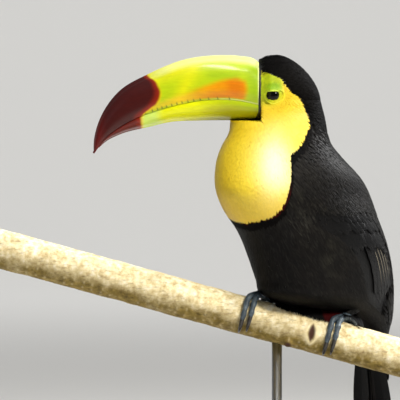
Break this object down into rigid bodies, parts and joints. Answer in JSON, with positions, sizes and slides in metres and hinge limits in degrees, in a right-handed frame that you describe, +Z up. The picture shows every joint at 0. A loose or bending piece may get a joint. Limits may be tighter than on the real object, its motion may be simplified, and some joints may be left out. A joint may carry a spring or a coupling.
{
  "type": "keel-billed toucan, still museum model on a perch",
  "caption": "Perched keel-billed toucan, a life-size still model: large rainbow bill, yellow bib, black body and folded wings, on a cut branch held by a round display stand.",
  "frame": {"origin": "centre of the display stand's underside", "axes": "+Z up; the bill points along -X, and -Y is the side that the body turns towards"},
  "size_m": [0.3446, 0.22, 0.389],
  "materials": {
    "throat_plumage": "soft yellow plumage, black over the crown and nape",
    "black_plumage": "sooty black plumage, faintly glossy",
    "bill_horn": "smooth horn: green and yellow, an orange patch and a dark red tip",
    "eye": "wet, very dark",
    "leg_skin": "blue-grey scaly skin",
    "claw_horn": "dark horn",
    "bark": "pale smooth bark",
    "stand_steel": "brushed",
    "stand_wood": "dark stained, satin"
  },
  "bodies": {
    "root": {"head": "throat_plumage", "neck": "throat_plumage", "trunk": "black_plumage", "wing_left": "black_plumage", "wing_right": "black_plumage", "tail": "black_plumage", "bill_upper": "bill_horn", "bill_lower": "bill_horn", "eye_left": "eye", "eye_right": "eye", "leg_left": "leg_skin", "leg_right": "leg_skin", "foot_left": "leg_skin", "foot_right": "leg_skin", "claw_outer_front_left": "claw_horn", "claw_inner_front_left": "claw_horn", "claw_outer_rear_left": "claw_horn", "claw_inner_rear_left": "claw_horn", "claw_outer_front_right": "claw_horn", "claw_inner_front_right": "claw_horn", "claw_outer_rear_right": "claw_horn", "claw_inner_rear_right": "claw_horn", "perch": "bark", "stand_rod": "stand_steel", "stand_base": "stand_wood"}
  },
  "joints": []
}
